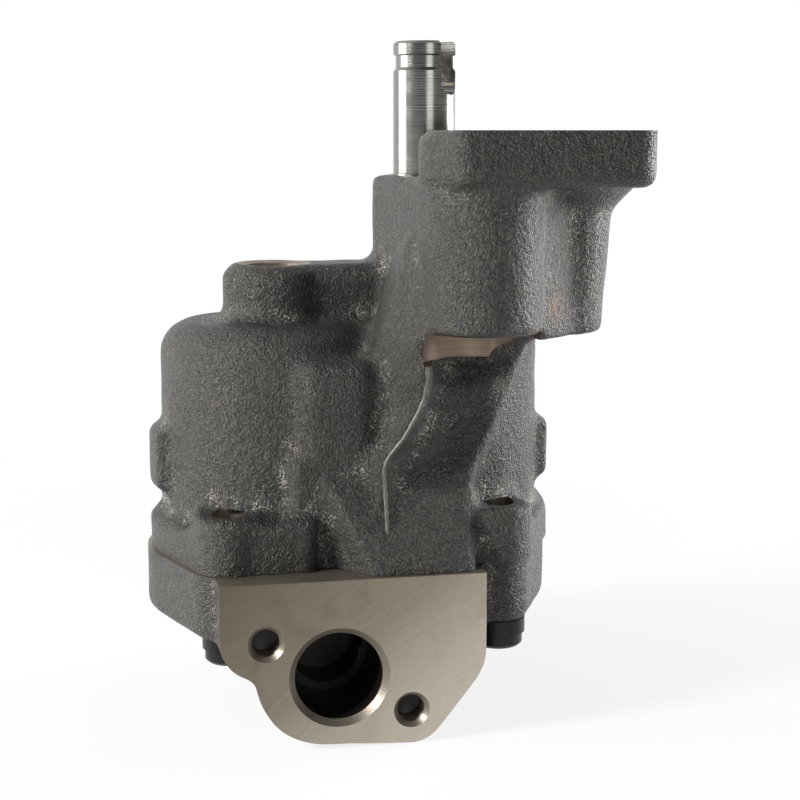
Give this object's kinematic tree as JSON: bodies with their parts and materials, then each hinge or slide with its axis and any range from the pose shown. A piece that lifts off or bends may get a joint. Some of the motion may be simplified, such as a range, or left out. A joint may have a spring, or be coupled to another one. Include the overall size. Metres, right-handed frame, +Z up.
{
  "type": "engine oil pump",
  "caption": "Spur-gear engine oil pump: cast housing with an offset mounting pad, slotted drive shaft, bolt-on pickup face and a relief valve in its cover.",
  "frame": {"origin": "on the drive shaft's axis, at the level of the machined mounting face", "axes": "+Z up along the drive shaft towards the engine block, +X from the idler gear to the drive gear, -Y is the side of the pickup face"},
  "size_m": [0.0976, 0.0758, 0.1317],
  "materials": {
    "housing_casting": "phosphated sand casting, machined mounting face and bores",
    "cover_casting": "phosphated sand casting, machined pickup face",
    "ground_steel": "ground",
    "gear_steel": "shaved teeth",
    "pin_steel": "ground",
    "piston_steel": "ground",
    "spring_steel": "oil-tempered wire",
    "plug_steel": "black oxide",
    "black_oxide_screw": "black oxide",
    "black_oxide_washer": "black oxide, worn"
  },
  "bodies": {
    "pump": {"housing": "housing_casting", "cover": "cover_casting", "idler_shaft": "ground_steel", "cover_dowel_left": "pin_steel", "cover_dowel_right": "pin_steel", "cover_screw_front_left": "black_oxide_screw", "cover_screw_front_right": "black_oxide_screw", "cover_screw_rear_left": "black_oxide_screw", "cover_screw_rear_right": "black_oxide_screw", "cover_screw_rear_middle": "black_oxide_screw", "lock_washer_front_left": "black_oxide_washer", "lock_washer_front_right": "black_oxide_washer", "lock_washer_rear_left": "black_oxide_washer", "lock_washer_rear_right": "black_oxide_washer", "lock_washer_rear_middle": "black_oxide_washer", "relief_plug": "plug_steel", "relief_spring": "spring_steel"},
    "drive": {"drive_shaft": "ground_steel", "drive_gear": "gear_steel", "drive_gear_pin": "pin_steel"},
    "idler": {"idler_gear": "gear_steel"},
    "relief": {"relief_piston": "piston_steel"}
  },
  "joints": [
    {"name": "drive_shaft_spin", "type": "hinge", "parent": "pump", "child": "drive", "pos_m": [0, 0, 0], "axis": [0, 0, 1], "continuous": true},
    {"name": "idler_gear_spin", "type": "hinge", "parent": "pump", "child": "idler", "pos_m": [-0.03048, 0, 0], "axis": [0, 0, 1], "continuous": true},
    {"name": "relief_valve_slide", "type": "slide", "parent": "pump", "child": "relief", "axis": [1, 0, 0], "range_m": [0, 0.007], "stiffness_N_per_m": 3000, "springref_m": -0.006, "deforming": ["relief_spring"]}
  ],
  "couplings": [
    {"joint": "idler_gear_spin", "follows": "drive_shaft_spin", "ratio": -1}
  ]
}
